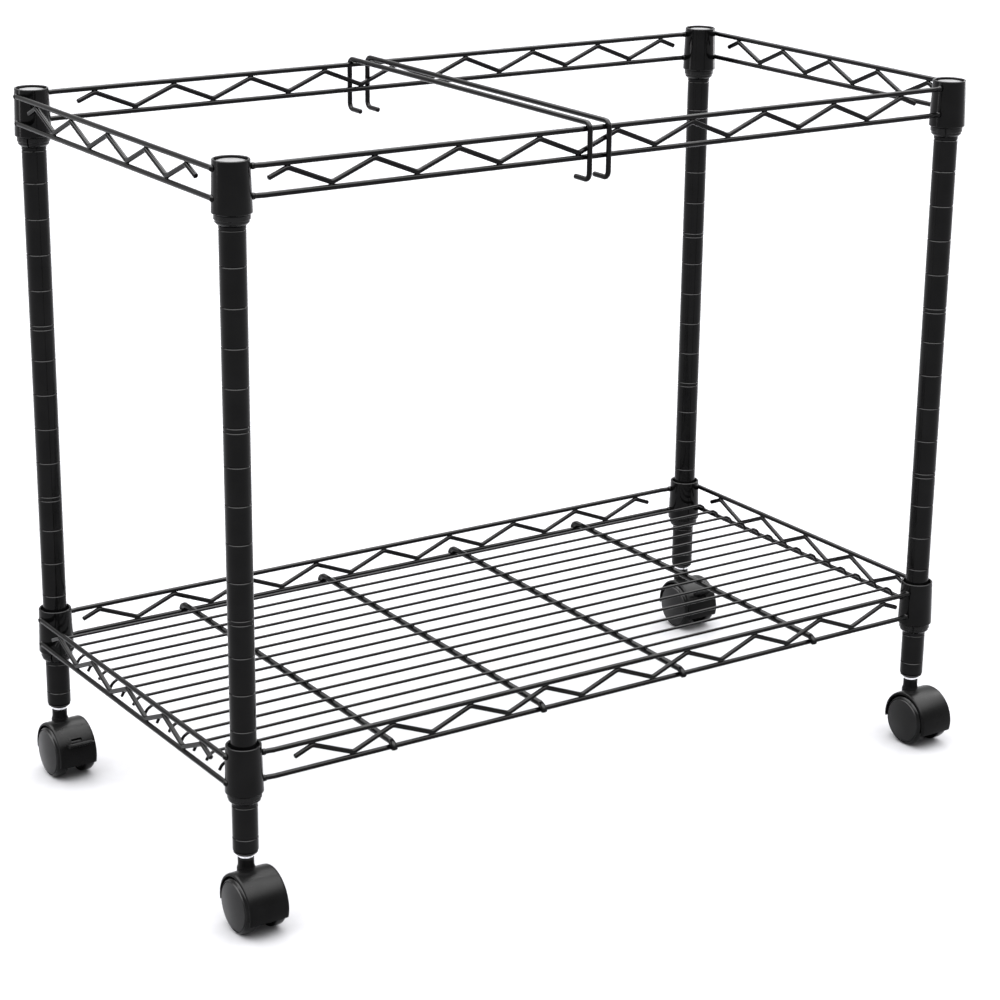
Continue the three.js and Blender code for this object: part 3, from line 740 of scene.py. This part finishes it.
def make_hood(corner):
    """Curved shell over both wheels, with the web between them and the neck on top."""
    node = f"caster_hood_{corner}"
    hub = Vector(centre_of(f"caster_axle_{corner}"))
    post = centre_of(f"post_{corner}")
    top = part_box(node)[1].z
    front, back = HOOD_ANGLES
    shoulder = [(HOOD_INNER, HOOD_MOUTH_HALF), *[(r * MM, w) for r, w in HOOD_SHOULDER]]
    profile = [(r, -w * MM) for r, w in shoulder] + [(r, w * MM) for r, w in reversed(shoulder)]
    shell = Shape().turned(profile, hub, axis="X", segments=SEGMENTS["hood"],
                           start=math.radians(180 - back), sweep=math.radians(back - front))
    span = back - front - 2 * WEB_INSET
    arc = [around(hub, HOOD_INNER + WEB_OVERLAP, front + WEB_INSET + span * k / WEB_STEPS)
           for k in range(WEB_STEPS + 1)]
    foot = [around(hub, WEB_FOOT["radius"], angle) for angle in WEB_FOOT["angles"]]
    web = Shape().prism(arc + foot, hub.x, WEB_HALF)
    bore = Shape().turned([(0, -AXLE_BORE_HALF), (AXLE_BORE, -AXLE_BORE_HALF),
                           (AXLE_BORE, AXLE_BORE_HALF), (0, AXLE_BORE_HALF)],
                          hub, axis="X", segments=SEGMENTS["bore"])
    pintle = PINTLE_RADIUS + GAP
    cutters = [Shape().turned(
        [(0, 0), (pintle, 0), (pintle, PINTLE_ROOM), (0, PINTLE_ROOM)],
        (post.x, post.y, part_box(f"caster_stem_{corner}")[0].z - GAP), segments=SEGMENTS["bore"])]
    if corner in LEVER_ANGLES:
        cutters += lever_cutters(hub)
    shape = shell.carved(*cutters).joined(web.carved(bore, *cutters))
    neck = Shape().turned([
        (pintle, NECK_FILLET[0][1] * MM),
        *[(NECK_RADIUS + wider * MM, z * MM) for wider, z in NECK_FILLET],
        (NECK_RADIUS, top - NECK_EDGE), (NECK_RADIUS - NECK_EDGE, top), (pintle, top),
    ], (post.x, post.y, 0), segments=SEGMENTS["neck"])
    piece(node, shape.joined(neck), "hood_plastic", f"caster_{corner}")


def make_axle(corner):
    """Steel pin through the web, with an edge broken at each end."""
    node = f"caster_axle_{corner}"
    low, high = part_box(node)
    half, radius = (high.x - low.x) / 2, (high.z - low.z) / 2
    edge = AXLE_EDGE
    profile = [(0, -half), (radius - edge, -half), (radius, edge - half),
               (radius, half - edge), (radius - edge, half), (0, half)]
    shape = Shape().turned(profile, centre_of(node), axis="X", segments=SEGMENTS["axle"])
    piece(node, shape, "zinc", f"caster_{corner}")


def make_wheel(side, corner):
    """Wheel with a rounded tread and a stepped, slightly domed outer disc."""
    node = f"caster_wheel_{side}_{corner}"
    hub = centre_of(f"caster_axle_{corner}")
    out = -1 if side == "left" else 1
    bore_from, bore_to = WHEEL_BORE["from"], WHEEL_BORE["to"]
    across = [*WHEEL_RIM, *WHEEL_DISC, (0, bore_to)]
    turned = [(AXLE_BORE, out * bore_from * MM),
              *[(r * MM, out * w * MM) for r, w in across],
              (AXLE_BORE, out * bore_to * MM)]
    shape = Shape().turned(turned, hub, axis="X", segments=SEGMENTS["wheel"])
    wheel = piece(node, shape, "wheel_plastic", f"wheel_{side}_{corner}")
    # faces past TREAD_FROM take the darker tread material, which includes painted shade from the
    # gap under the hood's rim
    wheel.data.materials.append(DARK_SHADED_TREAD)
    for face in wheel.data.polygons:
        if math.hypot(face.center.y - hub.y, face.center.z - hub.z) > TREAD_FROM:
            face.material_index = 1


def make_lever(corner):
    """Arm on a pin, with a ribbed pedal at its end."""
    node = f"brake_lever_{corner}"
    hub = centre_of(f"caster_axle_{corner}")
    pivot = lever_pivot(hub)
    angle = math.radians(LEVER_ANGLES[corner])
    along = Vector((0, -math.cos(angle), math.sin(angle)))
    upward = Vector((0, math.sin(angle), math.cos(angle)))

    def outline(points):
        spots = [pivot + along * u + upward * v for u, v in points]
        return [(spot.y, spot.z) for spot in spots]

    t = PEDAL["thick"] / 2
    tip = PEDAL["taper"] * t
    arm_end = PEDAL["end"] - ARM["short"]
    arm = Shape().prism(outline([(0, -t), (arm_end, -t), (arm_end, t), (0, t)]),
                        hub.x, LEVER_HALF)
    pedal = Shape().prism(outline([(PEDAL["start"], -t), (PEDAL["end"], -tip),
                                   (PEDAL["end"], tip), (PEDAL["start"], t)]),
                          hub.x, PEDAL["half"])
    shape = arm.softened(ARM["edge"]).joined(pedal.softened(PEDAL["edge"]))
    eye = [(0, -LEVER_HALF), (LEVER_EYE, -LEVER_HALF), (LEVER_EYE, LEVER_HALF), (0, LEVER_HALF)]
    pin, half = TRUNNION["radius"], TRUNNION["half"]
    shape.turned(eye, pivot, axis="X", segments=SEGMENTS["lever_eye"])
    shape.turned([(0, -half), (pin, -half), (pin, half), (0, half)], pivot, axis="X",
                 segments=SEGMENTS["lever_pin"])
    for k in range(RIDGES["count"]):
        outward = PEDAL["start"] + (RIDGES["first"] + RIDGES["pitch"] * k) * MM
        spot = pivot + along * outward + upward * (RIDGES["height"] * t)
        ridge = [(spot.x - PEDAL["half"] + RIDGES["inset"], spot.y, spot.z),
                 (spot.x + PEDAL["half"] - RIDGES["inset"], spot.y, spot.z)]
        shape.tube(ridge, RIDGES["radius"], (0, 0, 1), sides=RIDGES["sides"])
    piece(node, shape, "hood_plastic", f"brake_{corner}")


for corner in CORNERS:
    make_post(corner)
    make_cap(corner)
    make_insert(corner)
    make_stem(corner)
    make_hood(corner)
    make_axle(corner)
    for level in ("top", "shelf"):
        make_sleeve(level, corner)
    for side in ("left", "right"):
        make_wheel(side, corner)
for corner in LEVER_ANGLES:
    make_lever(corner)
for level in ("top", "shelf"):
    for side in ("front", "back"):
        make_long_truss(level, side)
    for side in ("left", "right"):
        make_side_frame(level, side)
make_deck()
for side in ("left", "right"):
    make_rod(side)


# ---- floor, light, camera -----------------------------------------------------------
FLOOR_HALF = 40.0
floor_data = bpy.data.meshes.new("floor")
floor_data.from_pydata(
    [(-FLOOR_HALF, -FLOOR_HALF, 0), (FLOOR_HALF, -FLOOR_HALF, 0),
     (FLOOR_HALF, FLOOR_HALF, 0), (-FLOOR_HALF, FLOOR_HALF, 0)], [], [(0, 1, 2, 3)])
floor = bpy.data.objects.new("floor", floor_data)
bpy.context.collection.objects.link(floor)
paper = finish("floor_paper", (0.150, 0.158), (0.85, 0.95), 1.05, 300, 0.02)
floor_data.materials.append(paper)

# a soft dome: even near the horizon, and brighter overhead
DOME_HEIGHTS = (0.45, 0.90)          # sines of the heights where it starts and stops rising
DOME_STRENGTHS = (1.05, 15.0)

world = bpy.data.worlds.new("studio")
bpy.context.scene.world = world
world.use_nodes = True
backdrop = world.node_tree.nodes["Background"]
backdrop.inputs["Color"].default_value = (1, 1, 1, 1)
direction = world.node_tree.nodes.new("ShaderNodeTexCoord")
height = world.node_tree.nodes.new("ShaderNodeSeparateXYZ")
dome = world.node_tree.nodes.new("ShaderNodeMapRange")
dome.interpolation_type = "SMOOTHSTEP"
for end, start_height, strength in zip(("Min", "Max"), DOME_HEIGHTS, DOME_STRENGTHS):
    dome.inputs[f"From {end}"].default_value = start_height
    dome.inputs[f"To {end}"].default_value = strength
world.node_tree.links.new(direction.outputs["Generated"], height.inputs["Vector"])
world.node_tree.links.new(height.outputs["Z"], dome.inputs["Value"])
world.node_tree.links.new(dome.outputs["Result"], backdrop.inputs["Strength"])

LIGHT_AIM = Vector((0, 0, 0.25))
LIGHTS = {                           # place, size across and up, watts
    "overhead": ((0.1, 0.5, 2.3), (1.2, 0.9), 14),
    "side_left": ((-2.4, 1.0, 1.0), (0.5, 1.8), 22),
    "side_right": ((2.4, 0.4, 1.0), (0.5, 1.8), 20),
}
for name, (spot, size, power) in LIGHTS.items():
    data = bpy.data.lights.new(name, "AREA")
    data.shape = "RECTANGLE"
    data.size, data.size_y = size
    data.energy = power
    light = bpy.data.objects.new(name, data)
    bpy.context.collection.objects.link(light)
    light.location = spot
    aim = LIGHT_AIM - Vector(spot)
    light.rotation_euler = aim.to_track_quat("-Z", "Y").to_euler()

CAMERA_SPOT = Vector((-1.0149, -1.5208, 0.8135))
CAMERA_YAW = math.radians(33.66)
CAMERA_PITCH = math.radians(18.45)
CAMERA_ROLL = math.radians(0.66)
CAMERA_LENS = 94.5
CAMERA_SENSOR = 36
CAMERA_FAR = 200
forward = Vector((math.cos(CAMERA_PITCH) * math.sin(CAMERA_YAW),
                  math.cos(CAMERA_PITCH) * math.cos(CAMERA_YAW), -math.sin(CAMERA_PITCH)))
level_right = Vector((math.cos(CAMERA_YAW), -math.sin(CAMERA_YAW), 0))
level_up = level_right.cross(forward)
right = level_right * math.cos(CAMERA_ROLL) + level_up * math.sin(CAMERA_ROLL)
up = level_up * math.cos(CAMERA_ROLL) - level_right * math.sin(CAMERA_ROLL)
camera_data = bpy.data.cameras.new("camera")
camera_data.lens = CAMERA_LENS
camera_data.sensor_width = CAMERA_SENSOR
camera_data.clip_end = CAMERA_FAR
camera = bpy.data.objects.new("camera", camera_data)
bpy.context.collection.objects.link(camera)
turn = Matrix((right, up, -forward)).transposed()
camera.matrix_world = Matrix.Translation(CAMERA_SPOT) @ turn.to_4x4()
bpy.context.scene.camera = camera
bpy.context.scene.view_settings.view_transform = "Standard"
